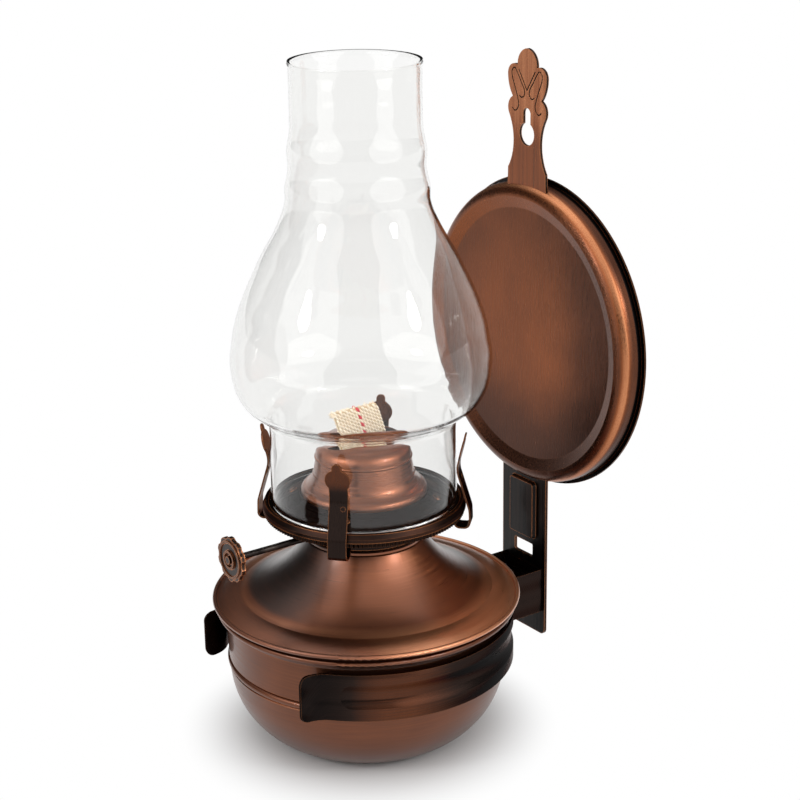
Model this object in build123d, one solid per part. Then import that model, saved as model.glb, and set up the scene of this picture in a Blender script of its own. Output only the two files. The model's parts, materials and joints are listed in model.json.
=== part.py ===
from build123d import *
import math
import os

# Small flat-wick oil lamp: fount, screw-in burner, glass chimney, clip-on wall bracket with a reflector.
# Millimetres. The origin is the centre of the fount's flat base, +Z is up, the wall +Y, the front -Y.

# Fount
RIM_R = 50.0
RIM_Z = 48.0
RIM_ROLL_R = 0.75
BASE_R = 27.0
SHEET = 0.6
WALL_R = 45.4
WALL_Z = 23.0
LIP_R = 47.4
LIP_BEAD_R = 0.9
LIP_BEAD_Z = 45.2
BEAD_Z = 26.4
BEAD_H = 2.2
BEAD_OUT = 0.5
GROOVE = 0.45
BRIM_R = 41.0
BRIM_Z = 50.4
NECK_R = 18.9
NECK_Z = 68.0
COLLAR_BORE_R = 16.0
COLLAR_BOTTOM_Z = 64.4
COLLAR_TOP_Z = 70.0
SOLDER_GAP = 0.05

# Burner
PLUG_R = 15.7
PLUG_BOTTOM_Z = 63.0
CHAMBER_R = 19.4
CHAMBER_FLOOR_Z = 69.4
DECK_Z = 83.5
DECK_R = 20.6
LEDGE_Z = 80.0
LEDGE_R = 27.6
CURB_R = 30.7
CURB_Z = 81.0
CURB_W = 1.2
FLANGE_R = 32.6
FLANGE_TOP_Z = 79.4
FLANGE_Z = 78.2
FLANGE_STEP = 0.9
SKIRT_Z = 76.6
AIR_HOLES = 14
AIR_HOLE_R = 1.4
AIR_HOLE_Z = 80.0
PLATE_T = 0.4

# Dome over the wick
DOME_R = 20.2
DOME_NECK_R = 15.3
DOME_SHOULDER_Z = 95.4
DOME_BAND_Z = 89.9
DOME_TOP_Z = 103.0
DOME_CORNER_R = 5.0
DOME_T = 0.5
SLOT_LENGTH = 25.0
SLOT_WIDTH = 7.0

# Wick and its feed
WICK_W = 16.6
WICK_T = 2.6
WICK_TOP_Z = 112.0
WICK_BOTTOM_Z = 20.0
TUBE_GAP = 0.35
TUBE_T = 0.5
TUBE_TOP_Z = 89.0
TUBE_BOTTOM_Z = 61.0
SHAFT_R = 1.0
SHAFT_Z = 75.0
WHEEL_TIP_R = 4.2
WHEEL_ROOT_R = 3.3
WHEEL_TEETH = 14
WHEEL_W = 2.2
WHEEL_Y = 5.0
WHEEL_CLEARANCE = 0.25
SHAFT_X = WICK_T / 2 + WHEEL_CLEARANCE + WHEEL_TIP_R
SHAFT_END_Y = 9.0
RUNNING_GAP = 0.05
KNOB_Y = -53.6
KNOB_T = 1.5
KNOB_R = 7.2
KNOB_FLUTES = 10
KNOB_FLUTE_R = 2.6
KNOB_FLUTE_DEPTH = 0.55

# Prongs
PRONG_T = 0.5
FOOT_GAP = 0.2
PRONG_W = 6.0
PRONG_SPADE_W = 8.0
PRONG_NIB_W = 3.0
PRONG_TIP_Z = 104.2
PRONG_LOBE_Z = 98.8
PRONG_PIP_R = 1.3
PRONG_PIP_H = 0.8
PRONG_PIP_Z = 89.0
PRONG_PIP_SIDE = 1.5
PRONG_ANGLES = {"front_right": -48.5, "back_right": 45.0, "back_left": 135.0, "front_left": 225.0}
RIVET_AT_R = 23.6
RIVET_R = 0.8
RIVET_HEAD_R = 1.5

# Glass
GLASS_T = 1.3
GLASS_BASE_R = 29.6
GLASS_BULGE_R = 41.0
GLASS_BULGE_Z = 126.4
GLASS_NECK_R = 20.1
GLASS_TOP_Z = 221.0
GLASS_LIFT = 0.2
LIP_ROLL_R = 1.0

# Bracket
STRAP_W = 23.0
STRAP_T = 1.0
STRAP_Y = 65.8
STRAP_BOTTOM_Z = 17.0
STRAP_NECK_Z = 178.0
HEAD_HALF_W = 9.7
STRAP_STEP_Z = 122.0
STRAP_TOP_Z = 217.4
STRAP_CORNER_R = 2.0
TIP_LOBE_R = 4.8
TIP_LOBE_H = 5.8
PANEL_W = 13.0
PANEL_RISE = 1.4
PANEL_BOTTOM_Z = 51.0
PANEL_TOP_Z = 71.8
KEYHOLE_Z = 190.0
KEYHOLE_R = 3.75
KEYHOLE_SLOT_W = 3.7
KEYHOLE_SLOT_TOP_Z = 198.4
WINDOW_W = 9.6
WINDOW_H = 4.6
WINDOW_Z = 46.5
CLIP_Z = 25.8
CLIP_H = 15.6
CLIP_T = 0.8
CLIP_R = 47.2
CLIP_LEG_X = 10.4
CLIP_END_ANGLE = 42.0
CLIP_CURL = 62.0
CLIP_CURL_R = 9.0
CLIP_CORNER_R = 3.0
CLIP_CHANNEL_DEPTH = 0.7
CLIP_CHANNEL_H = 8.0
CLIP_CHANNEL_Z = 33.9
CLIP_CHANNEL_START = 50.0
CLIP_CHANNEL_END = 150.0
CLIP_CHANNEL_RUNOUT = 6.0
CLIP_RIVET_X = 5.5
CLIP_RIVET_R = 1.6

# Reflector
PAN_Z = 123.0
PAN_T = 0.6
PAN_DISC_R = 42.5
PAN_RING_R = 46.4
PAN_RISE = 1.5
PAN_ROLL_R = 4.4
PAN_WALL_R = PAN_RING_R + PAN_ROLL_R
PAN_BRIM_R = 52.3
PAN_DEPTH = 7.0
NOTCH_GAP = 0.3
NOTCH_FROM_R = 44.0


def turned(face):
    """Revolve a face drawn with X as radius and Y as height about the lamp's axis."""
    return Rot(90, 0, 0) * revolve(face, Axis.Y, 360)


def sheet(path, thickness, side=Side.RIGHT):
    """Give an open line a thickness on one side and return the face."""
    return make_face(Wire(path.edges()).offset_2d(thickness, kind=Kind.ARC, side=side, closed=True))


def between(outer, inner):
    """Close the face between two lines that start and end beside each other."""
    start = Line(outer @ 0, inner @ 0)
    end = Line(outer @ 1, inner @ 1)
    return make_face(Wire(outer.edges() + inner.edges() + start.edges() + end.edges()))


def at_angle(angle, item):
    """Turn an item made on +X to an angle about the lamp's axis."""
    return Rot(0, 0, angle) * item


def make_bowl():
    """Bowl drawn from the base outwards: bead between two grooves, out-turned lip, bead under the seam."""
    bead_top = BEAD_Z + BEAD_H
    bead_mid = BEAD_Z + BEAD_H / 2
    groove_r = WALL_R - GROOVE
    path = Line((0, 0), (BASE_R, 0))
    path += ThreePointArc((BASE_R, 0), (38.6, 7.9), (WALL_R - 0.4, WALL_Z))
    path += Line((WALL_R - 0.4, WALL_Z), (WALL_R, BEAD_Z - GROOVE))
    path += Line((WALL_R, BEAD_Z - GROOVE), (groove_r, BEAD_Z))
    path += ThreePointArc((groove_r, BEAD_Z), (WALL_R + BEAD_OUT, bead_mid), (groove_r, bead_top))
    path += Line((groove_r, bead_top), (WALL_R, bead_top + GROOVE))
    path += Line((WALL_R, bead_top + GROOVE), (WALL_R + 0.4, LIP_BEAD_Z - 3.0))
    path += Line((WALL_R + 0.4, LIP_BEAD_Z - 3.0), (LIP_R, LIP_BEAD_Z - 0.6))
    path += Line((LIP_R, LIP_BEAD_Z - 0.6), (LIP_R, RIM_Z - 0.05))
    bead = turned(Pos(LIP_R + 0.6 * LIP_BEAD_R, LIP_BEAD_Z) * Circle(LIP_BEAD_R))
    return turned(sheet(path, SHEET, Side.LEFT)) + bead


def make_lid():
    """Lid drawn from its rolled edge over the flat brim and up the cone to the neck that holds the collar."""
    edge = (RIM_R - 2 * RIM_ROLL_R + 0.2, RIM_Z)
    brim = (BRIM_R, BRIM_Z)
    cone_top = (NECK_R + 0.4, NECK_Z)
    path = ThreePointArc(edge, (BRIM_R + 4.2, RIM_Z + 1.6), brim)
    path += ThreePointArc(brim, (29.0, 56.6), cone_top)
    path += Line(cone_top, (NECK_R, NECK_Z + 0.4))
    path += Line((NECK_R, NECK_Z + 0.4), (NECK_R, COLLAR_TOP_Z - 0.8))
    cone = turned(sheet(path, SHEET, Side.LEFT))
    roll = turned(Pos(RIM_R - RIM_ROLL_R, RIM_Z) * Circle(RIM_ROLL_R))
    return cone + roll


def make_collar():
    """Threaded ring soldered into the lid's neck, with a lip over the neck's edge."""
    outer = NECK_R - SHEET - SOLDER_GAP
    path = Polyline(
        (COLLAR_BORE_R, COLLAR_BOTTOM_Z),
        (outer, COLLAR_BOTTOM_Z),
        (outer, COLLAR_TOP_Z - 0.8),
        (NECK_R + 0.3, COLLAR_TOP_Z - 0.8),
        (NECK_R + 0.3, COLLAR_TOP_Z),
        (COLLAR_BORE_R, COLLAR_TOP_Z),
        close=True,
    )
    return turned(make_face(path))


def make_burner_base():
    """Screw plug, floor and perforated air chamber of the burner, one drawn cup."""
    path = Polyline(
        (0, CHAMBER_FLOOR_Z),
        (PLUG_R - SHEET, CHAMBER_FLOOR_Z),
        (PLUG_R - SHEET, PLUG_BOTTOM_Z),
        (PLUG_R, PLUG_BOTTOM_Z),
        (PLUG_R, COLLAR_TOP_Z + 0.3),
        (CHAMBER_R, COLLAR_TOP_Z + 0.3),
        (CHAMBER_R, DECK_Z - PLATE_T),
        (CHAMBER_R - SHEET, DECK_Z - PLATE_T),
        (CHAMBER_R - SHEET, COLLAR_TOP_Z + 0.3 + SHEET),
        (PLUG_R - SHEET, COLLAR_TOP_Z + 0.3 + SHEET),
        (PLUG_R - SHEET, CHAMBER_FLOOR_Z + SHEET),
        (0, CHAMBER_FLOOR_Z + SHEET),
        close=True,
    )
    cup = turned(make_face(path))
    hole = Pos(CHAMBER_R, 0, AIR_HOLE_Z) * Rot(0, 90, 0) * Cylinder(AIR_HOLE_R, 3)
    step = 360 / AIR_HOLES
    for index in range(AIR_HOLES):
        cup -= at_angle((index + 0.5) * step, hole)
    tube_hole = Box(WICK_T + 2 * (TUBE_GAP + TUBE_T), WICK_W + 2 * (TUBE_GAP + TUBE_T), 4)
    cup -= Pos(0, 0, CHAMBER_FLOOR_Z) * tube_hole
    cup -= Pos(SHAFT_X, -CHAMBER_R, SHAFT_Z) * Rot(90, 0, 0) * Cylinder(SHAFT_R + 0.9, 6)
    return cup


def make_shaft_bush():
    """Bush in the chamber wall that carries the wick shaft."""
    length = 4.0
    body = Cylinder(SHAFT_R + 0.9, length) - Cylinder(SHAFT_R + RUNNING_GAP, length)
    return Pos(SHAFT_X, -CHAMBER_R + 0.4, SHAFT_Z) * Rot(90, 0, 0) * body


def make_gallery():
    """Gallery drawn from the deck outwards: ledge for the glass, low curb, sloping flange and lower skirt."""
    path = Polyline(
        (13.0, DECK_Z),
        (DECK_R, DECK_Z),
        (LEDGE_R, LEDGE_Z),
        (CURB_R, LEDGE_Z),
        (CURB_R, CURB_Z),
        (CURB_R + CURB_W, CURB_Z),
        (FLANGE_R, FLANGE_TOP_Z),
        (FLANGE_R, FLANGE_Z),
        (FLANGE_R - FLANGE_STEP, FLANGE_Z),
        (FLANGE_R - FLANGE_STEP, SKIRT_Z),
    )
    plate = turned(sheet(path, PLATE_T, Side.RIGHT))
    for angle in PRONG_ANGLES.values():
        plate -= at_angle(angle, rivet_place() * Cylinder(RIVET_R, 6))
    return plate


def dome_line(inset):
    """Line of the dome from its foot over the flare, the tapering neck and the bead to the rounded top."""
    foot = DOME_R - inset
    neck = DOME_NECK_R - inset
    flare = (foot - 1.5, DECK_Z + 2.6)
    band = (neck + 1.1, DOME_BAND_Z)
    bead = (neck, DOME_SHOULDER_Z - 0.5)
    cap = (neck, DOME_SHOULDER_Z + 0.5)
    line = Line((foot, DECK_Z), (foot, DECK_Z + 0.8))
    line += ThreePointArc((foot, DECK_Z + 0.8), (foot - 0.5, DECK_Z + 2.0), flare)
    line += ThreePointArc(flare, (foot - 3.0, DECK_Z + 4.2), band)
    line += Line(band, (neck + 0.8, DOME_BAND_Z + 0.4))
    line += Line((neck + 0.8, DOME_BAND_Z + 0.4), bead)
    line += ThreePointArc(bead, (neck + 0.35, DOME_SHOULDER_Z), cap)
    return line + dome_cap(inset)


def dome_cap(inset):
    """Cap of the dome: a rounded corner that runs smoothly into a flatter crown."""
    corner_r = DOME_CORNER_R - inset
    corner_x = DOME_NECK_R - DOME_CORNER_R
    corner_z = DOME_SHOULDER_Z + 0.5
    rise = DOME_TOP_Z - corner_z
    crown_r = (corner_x ** 2 + rise ** 2 - DOME_CORNER_R ** 2) / (2 * (rise - DOME_CORNER_R))
    crown_z = DOME_TOP_Z - crown_r
    meet = math.atan2(corner_z - crown_z, corner_x)

    def on_corner(angle):
        return corner_x + corner_r * math.cos(angle), corner_z + corner_r * math.sin(angle)

    middle = (meet + math.pi / 2) / 2
    on_crown = (crown_r - inset) * math.cos(middle), crown_z + (crown_r - inset) * math.sin(middle)
    corner = ThreePointArc(on_corner(0), on_corner(meet / 2), on_corner(meet))
    return corner + ThreePointArc(on_corner(meet), on_crown, (0, DOME_TOP_Z - inset))


def make_dome():
    """Flame spreader: flared foot, tapering neck, bead and a cap with the wick slot."""
    shell = turned(between(dome_line(0), dome_line(DOME_T)))
    slot = SlotOverall(SLOT_LENGTH, SLOT_WIDTH, rotation=90)
    return shell - Pos(0, 0, DOME_SHOULDER_Z + 1.5) * extrude(slot, 8)


def make_wick_tube():
    """Flat tube that guides the wick, with a window for the feed wheels."""
    inner = Rectangle(WICK_T + 2 * TUBE_GAP, WICK_W + 2 * TUBE_GAP)
    outer = Rectangle(WICK_T + 2 * (TUBE_GAP + TUBE_T), WICK_W + 2 * (TUBE_GAP + TUBE_T))
    tube = Pos(0, 0, TUBE_BOTTOM_Z) * extrude(outer - inner, TUBE_TOP_Z - TUBE_BOTTOM_Z)
    window_h = 2 * WHEEL_TIP_R - 0.6
    window_w = 2 * WHEEL_Y + WHEEL_W + 0.8
    return tube - Pos(WICK_T, 0, SHAFT_Z) * Box(WICK_T, window_w, window_h)


def make_wick():
    """Flat wick from its tip down into the oil."""
    return Pos(0, 0, WICK_BOTTOM_Z) * extrude(Rectangle(WICK_T, WICK_W), WICK_TOP_Z - WICK_BOTTOM_Z)


def along_shaft(y, item):
    """Place an item made about Z, with its near end at zero, on the shaft so that it runs from y to +Y."""
    return Pos(SHAFT_X, y, SHAFT_Z) * Rot(-90, 0, 0) * item


def make_shaft():
    """Plain round shaft from the knob to the far side of the wheels."""
    return along_shaft(KNOB_Y, extrude(Circle(SHAFT_R), SHAFT_END_Y - KNOB_Y))


def make_wheels():
    """Pair of toothed wheels that push the wick."""
    half_tooth = 180 / WHEEL_TEETH
    points = []
    for index in range(WHEEL_TEETH):
        tip = math.radians(360 * index / WHEEL_TEETH)
        root = math.radians(360 * index / WHEEL_TEETH + half_tooth)
        points.append((WHEEL_TIP_R * math.cos(tip), WHEEL_TIP_R * math.sin(tip)))
        points.append((WHEEL_ROOT_R * math.cos(root), WHEEL_ROOT_R * math.sin(root)))
    star = make_face(Polyline(*points, close=True)) - Circle(SHAFT_R)
    wheel = extrude(star, WHEEL_W)
    return Compound([along_shaft(side * WHEEL_Y - WHEEL_W / 2, wheel) for side in (-1, 1)])


def make_knob():
    """Scalloped disc with a raised rim ring and a centre boss, staked on the shaft's end."""
    disc = Circle(KNOB_R)
    flute_at = KNOB_R + KNOB_FLUTE_R - KNOB_FLUTE_DEPTH
    for index in range(KNOB_FLUTES):
        disc -= Rot(0, 0, 360 * index / KNOB_FLUTES) * Pos(flute_at, 0) * Circle(KNOB_FLUTE_R)
    body = extrude(disc, KNOB_T)
    ring = extrude(Circle(KNOB_R - 1.2) - Circle(KNOB_R - 1.9), 0.35)
    cup = extrude(Circle(3.0) - Circle(2.3), 0.6)
    pin = extrude(Circle(1.3), 0.9)
    hub_h = 2.6
    body += Pos(0, 0, -0.35) * ring
    body += Pos(0, 0, -0.6) * cup
    body += Pos(0, 0, -0.9) * pin
    body += Pos(0, 0, KNOB_T) * extrude(Circle(2.2), hub_h)
    body -= extrude(Circle(SHAFT_R), KNOB_T + hub_h)
    return along_shaft(KNOB_Y, body)


def rivet_place():
    """Place on the sloping deck, at angle zero, with Z square to the deck."""
    drop = math.degrees(math.atan2(DECK_Z - LEDGE_Z, LEDGE_R - DECK_R))
    z = DECK_Z - (RIVET_AT_R - DECK_R) * (DECK_Z - LEDGE_Z) / (LEDGE_R - DECK_R)
    return Pos(RIVET_AT_R, 0, z) * Rot(0, drop, 0)


def make_prong():
    """Spring strip at angle zero: foot under the deck, loop under the skirt, leaf on the glass, spade tip."""
    slope = (DECK_Z - LEDGE_Z) / (LEDGE_R - DECK_R)
    under = (PLATE_T + FOOT_GAP) * math.sqrt(1 + slope * slope)
    foot_r = DECK_R + 0.9
    foot_end_r = LEDGE_R - 1.2
    points = [
        (foot_r, DECK_Z - (foot_r - DECK_R) * slope - under),
        (foot_end_r, DECK_Z - (foot_end_r - DECK_R) * slope - under),
        (30.4, 73.2),
        (34.3, 73.2),
        (34.1, 79.0),
        (GLASS_BASE_R + 0.45, 92.5),
        (GLASS_BASE_R + 3.2, PRONG_TIP_Z),
    ]
    path = FilletPolyline(*points, radius=[1.2, 1.6, 1.6, 6.0, 8.0])
    strip = extrude(sheet(path, PRONG_T, Side.RIGHT), PRONG_SPADE_W / 2, both=True)
    strip = Rot(90, 0, 0) * strip
    half = PRONG_W / 2
    lobe = PRONG_SPADE_W / 2
    nib = PRONG_NIB_W / 2
    nib_top = PRONG_TIP_Z - nib
    lobe_top = PRONG_LOBE_Z + 3.1
    lobe_end = PRONG_LOBE_Z - 3.1
    side = Line((nib, nib_top), (nib, lobe_top))
    side += ThreePointArc((nib, lobe_top), (lobe, PRONG_LOBE_Z), (half, lobe_end))
    side += Line((half, lobe_end), (half, PLUG_BOTTOM_Z))
    other = mirror(side, Plane.YZ)
    top = ThreePointArc((-nib, nib_top), (0, PRONG_TIP_Z), (nib, nib_top))
    bottom = Line((-half, PLUG_BOTTOM_Z), (half, PLUG_BOTTOM_Z))
    leaf = make_face(Wire(side.edges() + other.edges() + top.edges() + bottom.edges()))
    cutter = extrude(Plane.YZ * leaf, 40)
    prong = strip & cutter
    leaf_slope = (points[4][0] - points[5][0]) / (points[5][1] - points[4][1])
    leaf_r = points[4][0] - (PRONG_PIP_Z - points[4][1]) * leaf_slope
    facing = Rot(0, 90 - math.degrees(math.atan(leaf_slope)), 0)
    pip = extrude(Circle(PRONG_PIP_R), PRONG_PIP_H, taper=35)
    prong += Pos(leaf_r, PRONG_PIP_SIDE, PRONG_PIP_Z) * facing * Pos(0, 0, -PRONG_T / 2) * pip
    return prong - rivet_place() * Cylinder(RIVET_R, 6)


def make_prong_rivets():
    """Four rivets that hold the prongs under the deck."""
    foot_t = PLATE_T + FOOT_GAP + PRONG_T
    head = extrude(Circle(RIVET_HEAD_R), 0.7, taper=35)
    tail = extrude(Circle(RIVET_HEAD_R - 0.2), 0.5)
    shank = Pos(0, 0, -foot_t) * extrude(Circle(RIVET_R), foot_t)
    rivet = head + shank + Pos(0, 0, -foot_t - 0.5) * tail
    return Compound([at_angle(angle, rivet_place() * rivet) for angle in PRONG_ANGLES.values()])


def glass_line(inset):
    """Line of the chimney's wall from the base to the lip, drawn in by an inset."""
    base = GLASS_BASE_R - inset
    neck = GLASS_NECK_R - inset
    bulge = GLASS_BULGE_R - inset
    rise = 0.8 * inset
    line = Line((base, LEDGE_Z + GLASS_LIFT), (base, 107.6 + rise))
    line += ThreePointArc((base, 107.6 + rise), (base + 0.4, 109.0 + rise), (base + 1.8, 110.2 + rise))
    line += ThreePointArc((base + 1.8, 110.2 + rise), (bulge - 2.8, 115.6 + rise / 2), (bulge, GLASS_BULGE_Z))
    line += Spline(
        (bulge, GLASS_BULGE_Z),
        (bulge - 2.4, 141.8),
        (bulge - 9.3, 158.2),
        (neck + 4.5, 171.4),
        (neck + 2.2, 178.4),
        (neck + 2.1, 182.4),
        (neck + 1.0, 188.0),
        (neck + 1.2, 193.8),
        (neck + 0.2, 199.6),
        (neck, 206.0),
        tangents=((0, 1), (0, 1)),
    )
    line += Line((neck, 206.0), (neck, GLASS_TOP_Z - LIP_ROLL_R))
    return line


def make_chimney():
    """Blown chimney: base tube, crease, bulge, two ribs, neck and fire-polished lip."""
    wall = turned(between(glass_line(0), glass_line(GLASS_T)))
    lip_r = GLASS_NECK_R - GLASS_T / 2 + 0.25
    lip = turned(Pos(lip_r, GLASS_TOP_Z - LIP_ROLL_R) * Circle(LIP_ROLL_R))
    return wall + lip


def strap_outline():
    """Strap with a narrower upper half and a head of five lobes, seen from the front, with Y as height."""
    half = STRAP_W / 2
    corner = (half - STRAP_CORNER_R, STRAP_BOTTOM_Z)
    corner_top = (half, STRAP_BOTTOM_Z + STRAP_CORNER_R)
    step = (half, STRAP_STEP_Z)
    step_end = (HEAD_HALF_W, STRAP_STEP_Z + 8)
    shoulder = (HEAD_HALF_W - 0.2, STRAP_NECK_Z)
    neck = (6.7, STRAP_NECK_Z + 9.6)
    low_lobe = (9.0, KEYHOLE_Z + 5.6)
    waist = (7.2, KEYHOLE_Z + 11.4)
    petal = (HEAD_HALF_W, KEYHOLE_Z + 18.4)
    notch = (TIP_LOBE_R, STRAP_TOP_Z - TIP_LOBE_H)
    tip_side = (TIP_LOBE_R * math.sqrt(0.5), notch[1] + TIP_LOBE_H * math.sqrt(0.5))
    right = Line((0, STRAP_BOTTOM_Z), corner)
    right += RadiusArc(corner, corner_top, -STRAP_CORNER_R)
    right += Line(corner_top, step)
    right += Line(step, step_end)
    right += Line(step_end, (HEAD_HALF_W, STRAP_NECK_Z - 6))
    right += Line((HEAD_HALF_W, STRAP_NECK_Z - 6), shoulder)
    right += ThreePointArc(shoulder, (7.4, STRAP_NECK_Z + 4.4), neck)
    right += ThreePointArc(neck, (7.3, KEYHOLE_Z + 1.6), low_lobe)
    right += ThreePointArc(low_lobe, (9.5, KEYHOLE_Z + 8.6), waist)
    right += ThreePointArc(waist, (9.0, KEYHOLE_Z + 14.6), petal)
    right += ThreePointArc(petal, (7.6, KEYHOLE_Z + 21.7), notch)
    right += ThreePointArc(notch, tip_side, (0, STRAP_TOP_Z))
    left = mirror(right, Plane.YZ)
    return make_face(Wire(right.edges() + left.edges()))


def make_strap():
    """Wall strap with keyhole, window, rivet holes and a pressed panel below the reflector."""
    face = strap_outline()
    face -= Pos(0, KEYHOLE_Z) * Circle(KEYHOLE_R)
    slot_start = KEYHOLE_Z - KEYHOLE_SLOT_W / 2
    slot_mid = (slot_start + KEYHOLE_SLOT_TOP_Z) / 2
    face -= Pos(0, slot_mid) * SlotOverall(KEYHOLE_SLOT_TOP_Z - slot_start, KEYHOLE_SLOT_W, rotation=90)
    face -= Pos(0, WINDOW_Z) * RectangleRounded(WINDOW_W, WINDOW_H, 0.6)
    for side in (-1, 1):
        face -= Pos(side * CLIP_RIVET_X, CLIP_Z + CLIP_H / 2) * Circle(CLIP_RIVET_R)
    strap = Pos(0, STRAP_Y + STRAP_T, 0) * Rot(90, 0, 0) * extrude(face, STRAP_T)
    panel_h = PANEL_TOP_Z - PANEL_BOTTOM_Z
    front = Rot(90, 0, 0) * extrude(RectangleRounded(PANEL_W, panel_h, 1.5), PANEL_RISE, taper=20)
    hollow_w = PANEL_W - 2 * STRAP_T
    hollow_face = RectangleRounded(hollow_w, panel_h - 2 * STRAP_T, 1.0)
    hollow = Rot(90, 0, 0) * extrude(hollow_face, PANEL_RISE, taper=20)
    middle = (PANEL_BOTTOM_Z + PANEL_TOP_Z) / 2
    strap += Pos(0, STRAP_Y, middle) * front
    return strap - Pos(0, STRAP_Y + STRAP_T, middle) * hollow


def arm_ring(face, runout):
    """Turn a face drawn as radius and height along the middle of the clip's right arm, longer at each end."""
    start = CLIP_CHANNEL_START - runout
    sweep = CLIP_CHANNEL_END - CLIP_CHANNEL_START + 2 * runout
    return Rot(0, 0, start - 90) * revolve(Rot(90, 0, 0) * face, Axis.Z, sweep)


def clip_channel():
    """Round-bottomed channel along the right arm with dished ends, and the rib that it raises inside."""
    depth = CLIP_CHANNEL_DEPTH
    ball_r = (CLIP_CHANNEL_H ** 2 / 4 + depth ** 2) / (2 * depth)
    ball_x = CLIP_R + CLIP_T + ball_r - depth
    place = Pos(ball_x, CLIP_CHANNEL_Z)
    groove = arm_ring(place * Circle(ball_r), 0)
    for angle in (CLIP_CHANNEL_START, CLIP_CHANNEL_END):
        groove += at_angle(angle - 90, Pos(ball_x, 0, CLIP_CHANNEL_Z) * Sphere(ball_r))
    inside = Pos(CLIP_R - 0.6, CLIP_CHANNEL_Z) * Rectangle(2, CLIP_H)
    rib = arm_ring(place * Circle(ball_r + CLIP_T) & inside, CLIP_CHANNEL_RUNOUT)
    return groove, rib


def make_clip():
    """Spring clip bent from one strip: web on the strap, two legs, arms round the fount, curled ends."""
    leg = CLIP_LEG_X
    outer_r = CLIP_R + CLIP_T
    leg_y = math.sqrt(outer_r * outer_r - leg * leg)
    end = math.radians(CLIP_END_ANGLE)
    tip = Vector(outer_r * math.sin(end), -outer_r * math.cos(end))
    inward = Vector(-math.cos(end), -math.sin(end))
    outward = Vector(math.sin(end), -math.cos(end))
    curl = math.radians(CLIP_CURL)
    middle = tip + CLIP_CURL_R * (inward * math.sin(curl / 2) + outward * (1 - math.cos(curl / 2)))
    flare = tip + CLIP_CURL_R * (inward * math.sin(curl) + outward * (1 - math.cos(curl)))
    arm = Line((0, STRAP_Y), (leg, STRAP_Y))
    arm += Line((leg, STRAP_Y), (leg, leg_y))
    arm += ThreePointArc((leg, leg_y), (outer_r, 0), (tip.X, tip.Y))
    arm += ThreePointArc((tip.X, tip.Y), (middle.X, middle.Y), (flare.X, flare.Y))
    half = sheet(arm, CLIP_T, Side.RIGHT)
    arm_solid = Pos(0, 0, CLIP_Z) * extrude(half, CLIP_H)
    short = [edge for edge in arm_solid.edges() if abs(edge.length - CLIP_T) < 0.02]
    centres = [edge.center() for edge in short]
    reach = [math.hypot(centre.X - flare.X, centre.Y - flare.Y) for centre in centres]
    corners = [edge for edge, far in zip(short, reach) if far < CLIP_T]
    arm_solid = fillet(corners, CLIP_CORNER_R)
    groove, rib = clip_channel()
    arm_solid += rib
    arm_solid -= groove
    clip = arm_solid + mirror(arm_solid, Plane.YZ)
    hole = Rot(90, 0, 0) * Cylinder(CLIP_RIVET_R, 4)
    for side in (-1, 1):
        clip -= Pos(side * CLIP_RIVET_X, STRAP_Y, CLIP_Z + CLIP_H / 2) * hole
    return clip


def make_clip_rivets():
    """Two rivets that join the clip's web to the strap."""
    head = extrude(Circle(CLIP_RIVET_R + 1.4), 1.0, taper=40)
    length = CLIP_T + STRAP_T
    rivet = extrude(Circle(CLIP_RIVET_R), length) + Pos(0, 0, length) * head
    rivet += Pos(0, 0, -0.6) * extrude(Circle(CLIP_RIVET_R + 0.9), 0.6)
    z = CLIP_Z + CLIP_H / 2
    place = Rot(-90, 0, 0)
    return Compound([Pos(side * CLIP_RIVET_X, STRAP_Y - CLIP_T, z) * place * rivet for side in (-1, 1)])


def pan_line(inset):
    """Line of the pan from its centre to the brim, radius first, then the rise towards the flame."""
    disc = (PAN_DISC_R + 0.2 * inset, -inset)
    roll = PAN_ROLL_R - inset
    roll_z = PAN_RISE - PAN_ROLL_R
    slant = roll * math.sqrt(0.5)
    ring = (PAN_RING_R, PAN_RISE - inset)
    shoulder = (PAN_RING_R + slant, roll_z + slant)
    wall = (PAN_WALL_R - inset, roll_z)
    line = Line((0, -inset), disc)
    line += Line(disc, ring)
    line += ThreePointArc(ring, shoulder, wall)
    line += Line(wall, (wall[0], -PAN_DEPTH))
    return line


def make_reflector():
    """Pressed pan that faces the flame, with a brim, and slots in its wall where the strap passes through."""
    pan = revolve(between(pan_line(0), pan_line(PAN_T)), Axis.Y, 360)
    brim_face = Circle(PAN_BRIM_R) - Circle(PAN_WALL_R - PAN_T)
    pan += Pos(0, -PAN_DEPTH, 0) * Rot(-90, 0, 0) * extrude(brim_face, PAN_T)
    pan = Pos(0, STRAP_Y - PAN_T, PAN_Z) * Rot(180, 0, 0) * pan
    depth = STRAP_T + NOTCH_GAP
    height = PAN_BRIM_R + 2 - NOTCH_FROM_R
    low = (Align.CENTER, Align.MIN, Align.MIN)
    upper = Box(2 * (HEAD_HALF_W + NOTCH_GAP), depth, height, align=low)
    lower = Box(STRAP_W + 2 * NOTCH_GAP, depth, height, align=low)
    pan -= Pos(0, STRAP_Y, PAN_Z + NOTCH_FROM_R) * upper
    return pan - Pos(0, STRAP_Y, PAN_Z - NOTCH_FROM_R - height) * lower


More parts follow.
